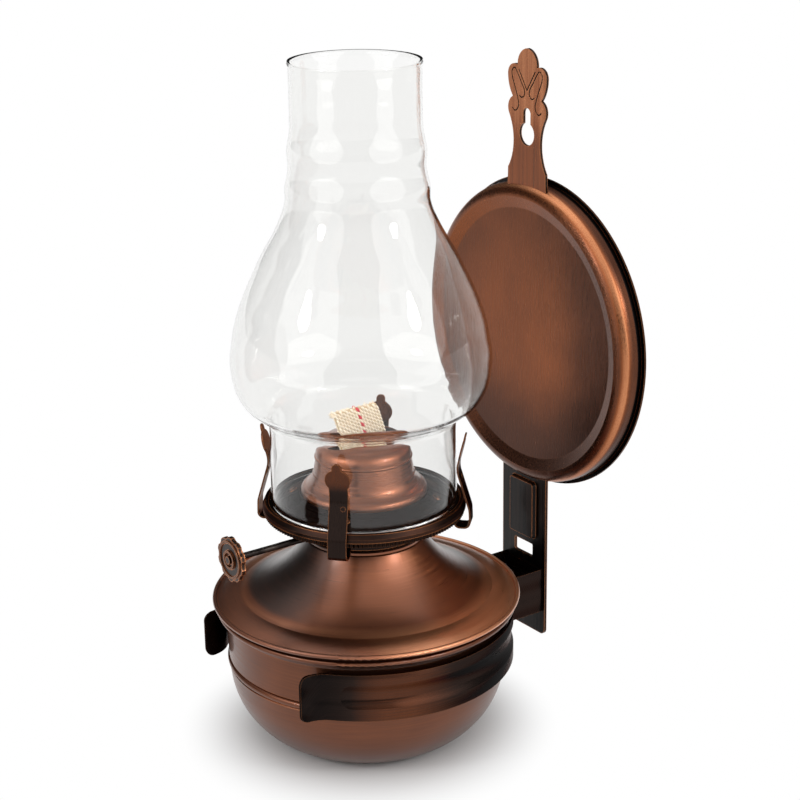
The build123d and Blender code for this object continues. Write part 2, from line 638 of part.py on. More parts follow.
def main():
    os.makedirs("parts", exist_ok=True)
    parts = {
        "fount_bowl": make_bowl(),
        "fount_lid": make_lid(),
        "fount_collar": make_collar(),
        "burner_base": make_burner_base(),
        "shaft_bush": make_shaft_bush(),
        "gallery_plate": make_gallery(),
        "burner_dome": make_dome(),
        "wick_tube": make_wick_tube(),
        "wick": make_wick(),
        "wick_shaft": make_shaft(),
        "feed_wheels": make_wheels(),
        "wick_knob": make_knob(),
        "prong_rivets": make_prong_rivets(),
        "chimney": make_chimney(),
        "wall_strap": make_strap(),
        "clamp_clip": make_clip(),
        "clip_rivets": make_clip_rivets(),
        "reflector": make_reflector(),
    }
    prong = make_prong()
    for name, angle in PRONG_ANGLES.items():
        parts[f"prong_{name}"] = at_angle(angle, prong)
    for name, part in parts.items():
        export_step(part, f"parts/{name}.step")
        print(name, round(part.volume, 1))


if __name__ == "__main__":
    main()
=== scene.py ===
"""Looks of a small flat-wick oil lamp with a clip-on wall bracket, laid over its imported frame."""

from __future__ import annotations

import json
import logging
import math
import random
from dataclasses import dataclass
from enum import Enum
from typing import Any, Sequence

import bmesh
import bpy
from mathutils import Matrix, Vector

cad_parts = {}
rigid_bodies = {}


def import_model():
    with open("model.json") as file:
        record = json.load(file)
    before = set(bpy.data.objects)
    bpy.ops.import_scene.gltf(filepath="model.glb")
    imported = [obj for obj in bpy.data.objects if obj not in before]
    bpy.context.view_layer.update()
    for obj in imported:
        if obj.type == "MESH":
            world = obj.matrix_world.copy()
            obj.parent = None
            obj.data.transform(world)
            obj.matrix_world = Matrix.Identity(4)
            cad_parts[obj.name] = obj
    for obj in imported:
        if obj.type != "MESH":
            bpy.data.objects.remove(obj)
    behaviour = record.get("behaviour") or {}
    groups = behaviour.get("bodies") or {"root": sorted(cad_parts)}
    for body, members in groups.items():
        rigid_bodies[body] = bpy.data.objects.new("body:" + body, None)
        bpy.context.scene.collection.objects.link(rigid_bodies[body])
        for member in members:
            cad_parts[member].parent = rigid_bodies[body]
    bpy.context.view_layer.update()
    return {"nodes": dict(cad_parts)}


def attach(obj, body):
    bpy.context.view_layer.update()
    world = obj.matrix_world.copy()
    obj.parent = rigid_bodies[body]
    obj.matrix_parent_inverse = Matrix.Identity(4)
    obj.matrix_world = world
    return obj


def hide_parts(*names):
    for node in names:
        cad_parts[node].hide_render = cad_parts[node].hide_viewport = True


LOG = logging.getLogger("oil_lamp")
MM = 0.001
UP = Vector((0.0, 0.0, 1.0))

Point = tuple[float, float]
Stop = tuple[float, str]
Socket = bpy.types.NodeSocket
Tree = bpy.types.NodeTree
Material = bpy.types.Material
Thing = bpy.types.Object
Nodes = dict[str, Thing]
Finishes = dict[str, Material]
Mesh = bmesh.types.BMesh


def linear(code: str) -> tuple[float, float, float, float]:
    """Turn an sRGB hex colour into linear light.

    Args:
        code: six hex digits, with or without a leading hash.

    Returns:
        Red, green, blue and an alpha of one.
    """
    digits = code.lstrip("#")
    parts = [int(digits[i:i + 2], 16) / 255 for i in (0, 2, 4)]
    light = [c / 12.92 if c <= 0.04045 else ((c + 0.055) / 1.055) ** 2.4 for c in parts]
    return light[0], light[1], light[2], 1.0


def per_mm(size: float) -> float:
    """Turn a feature's size in millimetres into the scale of its noise, in cycles per metre."""
    return 1.0 / (size * MM)


def add(tree: Tree, kind: str, inputs: dict[Any, Any] | None = None, stops: Sequence[Stop] = (),
        **settings: Any) -> bpy.types.Node:
    """Add one node with its settings and links.

    Args:
        tree: takes the node.
        kind: the node's type name.
        inputs: values or sockets by input name or index.
        stops: places and sRGB hex colours of a colour ramp.
        settings: the node's own properties.

    Returns:
        The new node.
    """
    node = tree.nodes.new(kind)
    for name, value in settings.items():
        setattr(node, name, value)
    for key, value in (inputs or {}).items():
        if isinstance(value, bpy.types.NodeSocket):
            tree.links.new(value, node.inputs[key])
        else:
            node.inputs[key].default_value = value
    if stops:
        band = node.color_ramp.elements
        while len(band) < len(stops):
            band.new(1.0)
        for element, (place, code) in zip(band, stops):
            element.position = place
            element.color = linear(code)
    return node


def new_material(name: str) -> tuple[Material, Socket]:
    """Start an empty material.

    Args:
        name: what the material is.

    Returns:
        The material and the object coordinate in its tree.
    """
    mat = bpy.data.materials.new(name)
    mat.use_nodes = True
    mat.node_tree.nodes.clear()
    return mat, add(mat.node_tree, "ShaderNodeTexCoord").outputs["Object"]


def seen_directly(tree: Tree) -> Socket:
    """Tell the rays that show a surface, straight, mirrored or through glass, from those that light it.

    Args:
        tree: takes the nodes.

    Returns:
        One for a ray that shows the surface, zero for one that gathers light.
    """
    path = add(tree, "ShaderNodeLightPath").outputs
    shown = add(tree, "ShaderNodeMath", {0: path["Is Camera Ray"], 1: path["Is Glossy Ray"]},
                operation="MAXIMUM").outputs[0]
    return add(tree, "ShaderNodeMath", {0: shown, 1: path["Is Transmission Ray"]},
               operation="MAXIMUM").outputs[0]


class Grain(Enum):
    """Which way a brush went over the metal."""

    ROUND = "round the lamp's axis"
    UPRIGHT = "up and down"


class Measure(Enum):
    """Along what a slow change of the patina, of painted shade or highlight on it, or of the table's white,
    is measured.
    """

    RADIUS = "away from the lamp's axis"
    PAN_RADIUS = "away from the reflector's middle"
    WIDTH = "along X"
    DEPTH = "along Y"
    HEIGHT = "along Z"


PAN_MIDDLE_Z = 123.0


@dataclass(frozen=True)
class Fade:
    """A slow change, from nothing at one place to all of it at another: of the patina, of painted shade or
    highlight on it, or of the table's white.
    """

    along: Measure
    start_mm: float
    full_mm: float
    amount: float
    within: Fade | None = None

    def value(self, tree: Tree, place: Socket) -> Socket:
        """Build the change.

        Args:
            tree: takes the nodes.
            place: the object coordinate.

        Returns:
            The change as a value from zero to the amount.
        """
        if self.along in (Measure.RADIUS, Measure.PAN_RADIUS):
            kept = (1.0, 1.0, 0.0) if self.along is Measure.RADIUS else (1.0, 0.0, 1.0)
            middle = (0.0, 0.0, 0.0) if self.along is Measure.RADIUS else (0.0, 0.0, -PAN_MIDDLE_Z * MM)
            flat = add(tree, "ShaderNodeVectorMath", {0: place, 1: kept, 2: middle}, operation="MULTIPLY_ADD")
            far = add(tree, "ShaderNodeVectorMath", {0: flat.outputs[0]}, operation="LENGTH").outputs["Value"]
        else:
            axis = {Measure.WIDTH: "X", Measure.DEPTH: "Y", Measure.HEIGHT: "Z"}[self.along]
            far = add(tree, "ShaderNodeSeparateXYZ", {0: place}).outputs[axis]
        limits = {"Value": far, "From Min": self.start_mm * MM, "From Max": self.full_mm * MM,
                  "To Min": 0.0, "To Max": self.amount}
        change = add(tree, "ShaderNodeMapRange", limits, interpolation_type="SMOOTHSTEP").outputs["Result"]
        if self.within is None:
            return change
        share = self.within.value(tree, place)
        return add(tree, "ShaderNodeMath", {0: change, 1: share}, operation="MULTIPLY").outputs[0]


@dataclass(frozen=True)
class Swell:
    """Soft ribs pressed along a strip on both sides of its channel."""

    middle_mm: float
    wave_mm: float
    deep_mm: float

    def height(self, tree: Tree, place: Socket) -> Socket:
        """Build the ribs.

        Args:
            tree: takes the nodes.
            place: the object coordinate.

        Returns:
            The height from zero to one.
        """
        level = add(tree, "ShaderNodeSeparateXYZ", {0: place}).outputs["Z"]
        phase = math.tau / (self.wave_mm * MM)
        turn = {0: level, 1: phase, 2: -self.middle_mm * MM * phase}
        angle = add(tree, "ShaderNodeMath", turn, operation="MULTIPLY_ADD").outputs[0]
        wave = add(tree, "ShaderNodeMath", {0: angle}, operation="COSINE").outputs[0]
        return add(tree, "ShaderNodeMath", {0: wave, 1: -0.5, 2: 0.5}, operation="MULTIPLY_ADD").outputs[0]


PATINA = ((0.0, "#0d0b0b"), (0.25, "#2a1f1b"), (0.5, "#553324"), (0.75, "#8a4f30"), (1.0, "#d08a60"))
WORN = "#c07a4c"
# Noise stays near a half: the span that it fills, and how far it is stretched on the patina's scale.
NOISE_SPAN = (0.3, 0.7)
NOISE_STRETCH = 3.0
# Cosine between the rounded and the true normal where an edge begins to be bare, and where it is.
EDGE_AGREES = (0.985, 0.82)
# How squarely a face of a flat strip looks along Y: a cut side below the first, the flat above the second.
FLAT_FACING = (0.3, 0.6)


@dataclass(frozen=True)
class Lacquered:
    """Antique copper: plated sheet steel, blackened, brushed back to copper in places and lacquered.

    The eye sees warm copper where the brush cut, smoky brown to black where it did not, fine brush lines,
    bare bright edges, and pale reflections in the clear lacquer, sharp on some pieces and soft on others.
    One scale from black to bright copper serves the whole lamp, with each finish at its own level on it; on
    some finishes the fades also paint shade and highlights onto that scale.
    """

    name: str
    level: float
    cloud: float
    stroke: float
    grain: Grain = Grain.UPRIGHT
    metallic: float = 0.95
    roughness: float = 0.34
    smoother: float = 0.07
    rougher: float = 0.09
    coat: float = 0.15
    coat_roughness: float = 0.1
    coat_ior: float = 1.5
    worn: float = 0.7
    worn_edge_mm: float = 0.4
    edge_samples: int = 4
    # real brush lines are too fine to show, so these are drawn coarser
    brush_mm: float = 0.4
    brush_deep: float = 0.2
    brush_deep_mm: float = 0.04
    brush_slope: float = 1.9
    stroke_mm: float = 18.0
    cloud_mm: float = 30.0
    stretch: float = 0.5
    black_sides: float = 0.0
    edge_tint: str = "#ffffff"
    relief: Swell | None = None
    fades: tuple[Fade, ...] = ()

    def strokes(self, tree: Tree, place: Socket) -> Socket:
        """Draw the brush lines.

        Args:
            tree: takes the nodes.
            place: the object coordinate.

        Returns:
            The lines as a value about a half.
        """
        apart = add(tree, "ShaderNodeSeparateXYZ", {0: place}).outputs
        across, along = per_mm(self.brush_mm), per_mm(self.stroke_mm)
        height = apart["Z"]
        stretched = (across, across, along)
        if self.grain is Grain.ROUND:
            flat = add(tree, "ShaderNodeVectorMath", {0: place, 1: (1.0, 1.0, 0.0)}, operation="MULTIPLY")
            radius = add(tree, "ShaderNodeVectorMath", {0: flat.outputs[0]}, operation="LENGTH")
            sloped = {0: radius.outputs["Value"], 1: self.brush_slope, 2: height}
            height = add(tree, "ShaderNodeMath", sloped, operation="MULTIPLY_ADD").outputs[0]
            stretched = (along, along, across)
        joined = add(tree, "ShaderNodeCombineXYZ", {"X": apart["X"], "Y": apart["Y"], "Z": height}).outputs[0]
        brushed = add(tree, "ShaderNodeVectorMath", {0: joined, 1: stretched}, operation="MULTIPLY")
        lines = {"Vector": brushed.outputs[0], "Scale": 1.0, "Detail": 5.0, "Roughness": 0.6}
        return add(tree, "ShaderNodeTexNoise", lines).outputs["Fac"]

    def grain_way(self, tree: Tree, place: Socket) -> Socket:
        """Point along the brush lines, for the highlights that they stretch.

        Args:
            tree: takes the nodes.
            place: the object coordinate.

        Returns:
            The direction in the world.
        """
        way: Any = tuple(UP)
        if self.grain is Grain.ROUND:
            way = add(tree, "ShaderNodeVectorMath", {0: tuple(UP), 1: place},
                      operation="CROSS_PRODUCT").outputs[0]
        return add(tree, "ShaderNodeVectorTransform", {0: way}, vector_type="VECTOR", convert_from="OBJECT",
                   convert_to="WORLD").outputs[0]

    def patina_and_painted_light(self, tree: Tree, place: Socket, strokes: Socket) -> Socket:
        """Place every point on the scale from black to bright copper.

        Args:
            tree: takes the nodes.
            place: the object coordinate.
            strokes: the brush lines.

        Returns:
            The place on the scale.
        """
        clouds = {"Vector": place, "Scale": per_mm(self.cloud_mm), "Detail": 2.5, "Distortion": 0.5}
        cloud = add(tree, "ShaderNodeTexNoise", clouds).outputs["Fac"]
        cut: Any = self.level - NOISE_STRETCH / 2 * self.cloud - NOISE_STRETCH / 2 * self.stroke
        for noise, amount in ((cloud, self.cloud), (strokes, self.stroke)):
            parts = {0: noise, 1: NOISE_STRETCH * amount, 2: cut}
            cut = add(tree, "ShaderNodeMath", parts, operation="MULTIPLY_ADD").outputs[0]
        # the fades shift the patina, and on some finishes they paint shade and highlights into it
        changes = [fade.value(tree, place) for fade in self.fades]
        if self.black_sides:
            changes.append(self.side_shade(tree))
        for change in changes:
            cut = add(tree, "ShaderNodeMath", {0: cut, 1: change}, operation="ADD").outputs[0]
        return cut

    def side_shade(self, tree: Tree) -> Socket:
        """Darken the cut sides of a flat strip.

        Args:
            tree: takes the nodes.

        Returns:
            The change of the patina.
        """
        world = add(tree, "ShaderNodeNewGeometry").outputs["True Normal"]
        own = add(tree, "ShaderNodeVectorTransform", {0: world}, vector_type="NORMAL", convert_from="WORLD",
                  convert_to="OBJECT").outputs[0]
        facing = add(tree, "ShaderNodeSeparateXYZ", {0: own}).outputs["Y"]
        flat = add(tree, "ShaderNodeMath", {0: facing}, operation="ABSOLUTE").outputs[0]
        limits = {"Value": flat, "From Min": FLAT_FACING[0], "From Max": FLAT_FACING[1],
                  "To Min": -self.black_sides, "To Max": 0.0}
        return add(tree, "ShaderNodeMapRange", limits).outputs["Result"]

    def material(self) -> Material:
        """Build the finish.

        Returns:
            The new material.
        """
        mat, place = new_material(self.name)
        tree = mat.node_tree
        strokes = self.strokes(tree, place)
        shade = {"Fac": self.patina_and_painted_light(tree, place, strokes)}
        skin = add(tree, "ShaderNodeValToRGB", shade, PATINA).outputs["Color"]
        rounding = {"Radius": self.worn_edge_mm * MM}
        bent = add(tree, "ShaderNodeBevel", rounding, samples=self.edge_samples).outputs["Normal"]
        true = add(tree, "ShaderNodeNewGeometry").outputs["Normal"]
        agree = add(tree, "ShaderNodeVectorMath", {0: bent, 1: true}, operation="DOT_PRODUCT")
        bare = {"Value": agree.outputs["Value"], "From Min": EDGE_AGREES[0], "From Max": EDGE_AGREES[1],
                "To Min": 0.0, "To Max": self.worn}
        edge = add(tree, "ShaderNodeMapRange", bare).outputs["Result"]
        layers = {"Factor": edge, 6: skin, 7: linear(WORN)}
        worn = add(tree, "ShaderNodeMix", layers, data_type="RGBA").outputs[2]
        gloss = {"Value": strokes, "From Min": NOISE_SPAN[0], "From Max": NOISE_SPAN[1],
                 "To Min": self.roughness - self.smoother, "To Max": self.roughness + self.rougher}
        rough = add(tree, "ShaderNodeMapRange", gloss).outputs["Result"]
        lines = {"Height": strokes, "Strength": self.brush_deep, "Distance": self.brush_deep_mm * MM}
        bump = add(tree, "ShaderNodeBump", lines).outputs[0]
        if self.relief:
            ribs = {"Height": self.relief.height(tree, place), "Strength": 1.0,
                    "Distance": self.relief.deep_mm * MM, "Normal": bump}
            bump = add(tree, "ShaderNodeBump", ribs).outputs[0]
        shader = add(tree, "ShaderNodeBsdfPrincipled",
                     {"Base Color": worn, "Metallic": self.metallic, "Roughness": rough, "Normal": bump,
                      "Specular Tint": linear(self.edge_tint),
                      "Anisotropic": self.stretch, "Tangent": self.grain_way(tree, place),
                      "Coat Weight": self.coat, "Coat Roughness": self.coat_roughness,
                      "Coat IOR": self.coat_ior})
        add(tree, "ShaderNodeOutputMaterial", {"Surface": shader.outputs[0]})
        return mat


@dataclass(frozen=True)
class Plain:
    """Plain metal of one colour with faint tarnish, with or without a fine thread cut into it.

    The eye sees an even metal with a slightly blotched gloss.
    """

    name: str
    colour: str
    tarnish: str
    roughness: float
    smoother: float = 0.05
    rougher: float = 0.1
    blotch_mm: float = 5.0
    tarnished_to: float = 0.35
    clean_from: float = 0.62
    thread_mm: float = 0.0
    thread_strength: float = 0.8

    def material(self) -> Material:
        """Build the finish.

        Returns:
            The new material.
        """
        mat, place = new_material(self.name)
        tree = mat.node_tree
        blotches = {"Vector": place, "Scale": per_mm(self.blotch_mm), "Detail": 4.0}
        blotch = add(tree, "ShaderNodeTexNoise", blotches).outputs["Fac"]
        stops = ((self.tarnished_to, self.tarnish), (self.clean_from, self.colour))
        skin = add(tree, "ShaderNodeValToRGB", {"Fac": blotch}, stops).outputs["Color"]
        gloss = {"Value": blotch, "From Min": NOISE_SPAN[0], "From Max": NOISE_SPAN[1],
                 "To Min": self.roughness + self.rougher, "To Max": self.roughness - self.smoother}
        rough = add(tree, "ShaderNodeMapRange", gloss).outputs["Result"]
        metal = {"Base Color": skin, "Metallic": 1.0, "Roughness": rough}
        if self.thread_mm:
            height = add(tree, "ShaderNodeSeparateXYZ", {0: place}).outputs["Z"]
            ridge = add(tree, "ShaderNodeMath", {0: height, 1: self.thread_mm * MM / 2}, operation="PINGPONG")
            cut = {"Height": ridge.outputs[0], "Strength": self.thread_strength, "Distance": 1.0}
            metal["Normal"] = add(tree, "ShaderNodeBump", cut).outputs[0]
        shader = add(tree, "ShaderNodeBsdfPrincipled", metal)
        add(tree, "ShaderNodeOutputMaterial", {"Surface": shader.outputs[0]})
        return mat


@dataclass(frozen=True)
class BlownGlass:
    """Clear glass, blown into a mould and fire-polished, so it has no grain and hardly any colour.

    The eye sees thin bright reflections with a slight waver. The refractive index is matched to their
    strength in the photograph.
    """

    name: str = "clear_blown_glass"
    tint: str = "#f8f8f7"
    ior: float = 1.4
    waver_mm: float = 32.0
    waver_strength: float = 0.08
    waver_deep_mm: float = 0.4

    def material(self) -> Material:
        """Build the finish.

        Returns:
            The new material.
        """
        mat, place = new_material(self.name)
        tree = mat.node_tree
        wave = {"Vector": place, "Scale": per_mm(self.waver_mm), "Detail": 1.0}
        waver = {"Height": add(tree, "ShaderNodeTexNoise", wave).outputs["Fac"],
                 "Strength": self.waver_strength, "Distance": self.waver_deep_mm * MM}
        bump = add(tree, "ShaderNodeBump", waver).outputs[0]
        shader = add(tree, "ShaderNodeBsdfPrincipled",
                     {"Base Color": linear(self.tint), "Roughness": 0.0, "IOR": self.ior,
                      "Transmission Weight": 1.0, "Normal": bump})
        add(tree, "ShaderNodeOutputMaterial", {"Surface": shader.outputs[0]})
        return mat


@dataclass(frozen=True)
class Cotton:
    """Cotton yarn, twisted and woven.

    The eye sees a matt thread with darker hollows and a soft sheen of loose fibre.
    """

    name: str
    light: str
    shade: str
    # real fibres are too fine to show, so these are drawn coarser
    fibre_mm: float = 0.25
    fibre_strength: float = 0.4
    fibre_deep_mm: float = 0.1
    shade_to: float = 0.3
    light_from: float = 0.6
    roughness: float = 0.85
    sheen: float = 0.3

    def material(self) -> Material:
        """Build the finish.

        Returns:
            The new material.
        """
        mat, place = new_material(self.name)
        tree = mat.node_tree
        fibres = {"Vector": place, "Scale": per_mm(self.fibre_mm), "Detail": 3.0}
        fibre = add(tree, "ShaderNodeTexNoise", fibres).outputs["Fac"]
        stops = ((self.shade_to, self.shade), (self.light_from, self.light))
        skin = add(tree, "ShaderNodeValToRGB", {"Fac": fibre}, stops).outputs["Color"]
        twist = {"Height": fibre, "Strength": self.fibre_strength, "Distance": self.fibre_deep_mm * MM}
        bump = add(tree, "ShaderNodeBump", twist).outputs[0]
        shader = add(tree, "ShaderNodeBsdfPrincipled",
                     {"Base Color": skin, "Roughness": self.roughness, "Sheen Weight": self.sheen,
                      "Normal": bump})
        add(tree, "ShaderNodeOutputMaterial", {"Surface": shader.outputs[0]})
        return mat


def make_piece(name: str, mesh: Mesh, finish: Material, body: str, sharp: float) -> Thing:
    """Turn a bmesh into a smooth-shaded piece that rides on a body.

    Args:
        name: the piece's name.
        mesh: the finished bmesh, which is freed.
        finish: the material of slot zero.
        body: the CAD body that carries the piece.
        sharp: edges over this angle, in degrees, stay sharp.

    Returns:
        The new object.
    """
    data = bpy.data.meshes.new(name)
    mesh.to_mesh(data)
    mesh.free()
    data.polygons.foreach_set("use_smooth", [True] * len(data.polygons))
    data.set_sharp_from_angle(angle=math.radians(sharp))
    data.materials.append(finish)
    piece = bpy.data.objects.new(name, data)
    bpy.context.scene.collection.objects.link(piece)
    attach(piece, body)
    LOG.info("piece %s on %s, %d faces", name, body, len(data.polygons))
    return piece


def smooth_line(points: Sequence[Point], steps: int) -> list[Vector]:
    """Draw a smooth line through points of the XZ plane.

    Args:
        points: places along X and Z, in millimetres.
        steps: points of the result between two given ones.

    Returns:
        Points in the XZ plane, in metres.
    """
    curve = bpy.data.curves.new("line", "CURVE")
    curve.dimensions = "3D"
    curve.resolution_u = steps
    spline = curve.splines.new("BEZIER")
    spline.bezier_points.add(len(points) - 1)
    for knot, (x, z) in zip(spline.bezier_points, points):
        knot.co = (x * MM, 0.0, z * MM)
        knot.handle_left_type = "AUTO"
        knot.handle_right_type = "AUTO"
    holder = bpy.data.objects.new("line", curve)
    bpy.context.scene.collection.objects.link(holder)
    bpy.context.view_layer.update()
    line = bpy.data.meshes.new_from_object(holder)
    places = [vertex.co.copy() for vertex in line.vertices]
    bpy.data.objects.remove(holder)
    bpy.data.curves.remove(curve)
    bpy.data.meshes.remove(line)
    return places


WELD_MM = 0.005


def spun(line: Sequence[Vector], steps: int) -> Mesh:
    """Spin a line once round the lamp's axis.

    Args:
        line: points in the XZ plane, in metres.
        steps: segments of the turn.

    Returns:
        The turned skin, facing outwards.
    """
    mesh = bmesh.new()
    verts = [mesh.verts.new(place) for place in line]
    edges = [mesh.edges.new(pair) for pair in zip(verts, verts[1:])]
    bmesh.ops.spin(mesh, geom=verts + edges, cent=(0, 0, 0), axis=UP, angle=math.tau, steps=steps,
                   use_merge=True)
    bmesh.ops.remove_doubles(mesh, verts=mesh.verts, dist=WELD_MM * MM)
    bmesh.ops.recalc_face_normals(mesh, faces=mesh.faces)
    return mesh


@dataclass(frozen=True)
class SoftBox:
    """One round soft box, placed by angles about the lamp, and by how bright its face looks."""

    name: str
    turn: float
    rise: float
    far: float
    wide: float
    radiance: float

    def hang(self, aim: Vector) -> None:
        """Hang the box so that it faces the lamp.

        Args:
            aim: the point it faces.
        """
        light = bpy.data.lights.new(self.name, "AREA")
        light.shape = "DISK"
        light.size = self.wide
        light.energy = self.radiance * math.pi * math.pi * (self.wide / 2) ** 2
        holder = bpy.data.objects.new(self.name, light)
        turn, rise = math.radians(self.turn), math.radians(self.rise)
        away = Vector((math.sin(turn) * math.cos(rise), -math.cos(turn) * math.cos(rise), math.sin(rise)))
        holder.location = aim + away * self.far
        holder.rotation_euler = (-away).to_track_quat("-Z", "Y").to_euler()
        bpy.context.scene.collection.objects.link(holder)


@dataclass
class Studio:
    """White table under a pale ceiling, a soft box with a hot core either side, and the photo's camera."""

    eye_mm: tuple[float, float, float] = (474.9, -318.7, 309.5)
    yaw: float = 54.94
    pitch: float = 18.93
    roll: float = -0.87
    lens_px: float = 1917.3
    frame_px: float = 800.0
    sensor_mm: float = 36.0
    clip_start: float = 0.01
    aim_z: float = 0.12
    box_turn: float = 53.0
    box_rise: float = 21.0
    box_far: float = 0.95
    box_wide: float = 1.1
    box_radiance: float = 1.3
    core_turn: float = 56.5
    core_rise: float = 25.5
    core_far: float = 0.93
    core_wide: float = 0.18
    core_radiance: float = 16.0
    floor_wide: float = 9.0
    # grey paper near the lamp: painted shade that deepens the real shadow there before the table turns white
    paper_painted_shade: str = "#d4d4d4"
    shadow_mm: float = 34.0
    white_mm: float = 64.0
    white: str = "#ffffff"
    room_radiance: float = 0.045
    ceiling_rise: float = 78.0
    ceiling_edge: float = 74.0
    ceiling_full: float = 20.0
    ceiling_radiance: float = 1.3
    wall_grey: str = "#bcbcbc"
    wall_white_z: float = 0.35
    wall_grey_z: float = 0.75

    def build(self) -> None:
        """Make the floor, the lamps, the world and the camera."""
        self.floor()
        aim = Vector((0.0, 0.0, self.aim_z))
        for side, way in (("left", -1.0), ("right", 1.0)):
            SoftBox(side + "_box", self.yaw + way * self.box_turn, self.box_rise, self.box_far, self.box_wide,
                    self.box_radiance).hang(aim)
            SoftBox(side + "_core", self.yaw + way * self.core_turn, self.core_rise, self.core_far,
                    self.core_wide, self.core_radiance).hang(aim)
        self.world()
        self.camera()

    def floor(self) -> None:
        """Lay the table: grey paper near the lamp, painted shade that deepens the lamp's real shadow there,
        and plain white further away.
        """
        mesh = bmesh.new()
        bmesh.ops.create_grid(mesh, x_segments=1, y_segments=1, size=self.floor_wide / 2)
        data = bpy.data.meshes.new("table")
        mesh.to_mesh(data)
        mesh.free()
        mat, place = new_material("white_table")
        tree = mat.node_tree
        paper = add(tree, "ShaderNodeBsdfDiffuse", {"Color": linear(self.paper_painted_shade)})
        glow = add(tree, "ShaderNodeEmission", {"Color": linear(self.white), "Strength": 1.0})
        white = Fade(Measure.RADIUS, self.shadow_mm, self.white_mm, 1.0).value(tree, place)
        share = add(tree, "ShaderNodeMath", {0: seen_directly(tree), 1: white}, operation="MULTIPLY")
        layers = {0: share.outputs[0], 1: paper.outputs[0], 2: glow.outputs[0]}
        shown = add(tree, "ShaderNodeMixShader", layers)
        add(tree, "ShaderNodeOutputMaterial", {"Surface": shown.outputs[0]})
        data.materials.append(mat)
        table = bpy.data.objects.new("table", data)
        bpy.context.scene.collection.objects.link(table)

    def world(self) -> None:
        """Make a dark room with a pale ceiling, and a white wall seen behind the lamp and its glass."""
        world = bpy.data.worlds.new("studio")
        bpy.context.scene.world = world
        world.use_nodes = True
        tree = world.node_tree
        tree.nodes.clear()
        turn, lift = math.radians(self.yaw), math.radians(self.ceiling_rise)
        middle = (math.sin(turn) * math.cos(lift), -math.cos(turn) * math.cos(lift), math.sin(lift))
        way = add(tree, "ShaderNodeTexCoord").outputs["Generated"]
        near = add(tree, "ShaderNodeVectorMath", {0: way, 1: middle}, operation="DOT_PRODUCT")
        edge, full = (math.cos(math.radians(angle)) for angle in (self.ceiling_edge, self.ceiling_full))
        ceiling = {"Value": near.outputs["Value"], "From Min": edge, "From Max": full,
                   "To Min": self.room_radiance, "To Max": self.ceiling_radiance}
        glow = add(tree, "ShaderNodeMapRange", ceiling, interpolation_type="SMOOTHSTEP").outputs["Result"]
        room = add(tree, "ShaderNodeBackground", {"Color": linear(self.white), "Strength": glow})
        rise = add(tree, "ShaderNodeSeparateXYZ", {0: way}).outputs["Z"]
        above = {"Value": rise, "From Min": self.wall_white_z, "From Max": self.wall_grey_z}
        high = add(tree, "ShaderNodeMapRange", above, interpolation_type="SMOOTHSTEP").outputs["Result"]
        stops = ((0.0, self.white), (1.0, self.wall_grey))
        paint = add(tree, "ShaderNodeValToRGB", {"Fac": high}, stops).outputs["Color"]
        wall = add(tree, "ShaderNodeBackground", {"Color": paint})
        path = add(tree, "ShaderNodeLightPath").outputs
        seen = add(tree, "ShaderNodeMath", {0: path["Is Camera Ray"], 1: path["Is Transmission Ray"]},
                   operation="MAXIMUM").outputs[0]
        shown = add(tree, "ShaderNodeMixShader", {0: seen, 1: room.outputs[0], 2: wall.outputs[0]})
        add(tree, "ShaderNodeOutputWorld", {"Surface": shown.outputs[0]})

    def camera(self) -> None:
        """Set the camera where the photograph was taken."""
        data = bpy.data.cameras.new("camera")
        data.sensor_fit = "HORIZONTAL"
        data.sensor_width = self.sensor_mm
        data.lens = self.lens_px * self.sensor_mm / self.frame_px
        data.clip_start = self.clip_start
        holder = bpy.data.objects.new("camera", data)
        yaw, pitch, roll = (math.radians(v) for v in (self.yaw, self.pitch, self.roll))
        ahead = Vector((-math.sin(yaw) * math.cos(pitch), math.cos(yaw) * math.cos(pitch), -math.sin(pitch)))
        right = ahead.cross(UP).normalized()
        top = right.cross(ahead)
        side = math.cos(roll) * right + math.sin(roll) * top
        over = -math.sin(roll) * right + math.cos(roll) * top
        turn = Matrix((side, over, -ahead)).transposed()
        holder.matrix_world = Matrix.Translation(Vector(self.eye_mm) * MM) @ turn.to_4x4()
        bpy.context.scene.collection.objects.link(holder)
        bpy.context.scene.camera = holder


# Finishes of the fount and its collar.
# the lid's fades: a darker cone, painted shade on the cone towards -X, and painted shade on the brim towards
# -Y, the front
LID_CONE = Fade(Measure.RADIUS, 41.0, 36.0, 1.0)
LID_BRIM = Fade(Measure.RADIUS, 38.0, 42.0, 1.0)
LID_TONE_AND_PAINTED_SHADE = (Fade(Measure.RADIUS, 41.0, 36.0, -0.26), Fade(Measure.WIDTH, 22.0, -2.0, -0.42, LID_CONE),
             Fade(Measure.DEPTH, -10.0, -36.0, -0.36, LID_BRIM))
FOUNT_LOOKS = {
    # even brown copper with fine rings under a glossy lacquer
    "bowl": Lacquered("bowl_copper", 0.57, 0.06, 0.08, Grain.ROUND, roughness=0.36, coat=0.35,
                      coat_roughness=0.06),
    # a bright brim with painted shade towards the front, round a darker cone with painted shade towards -X,
    # under a broad soft sheen
    "lid": Lacquered("lid_copper", 1.0, 0.1, 0.06, Grain.ROUND, roughness=0.34, coat=0.75,
                     coat_roughness=0.28, brush_mm=0.25, fades=LID_TONE_AND_PAINTED_SHADE),
    # dark copper cut with a thread
    "threaded": Plain("threaded_dark_copper", "#4a3024", "#241a16", 0.3, thread_mm=1.6)}
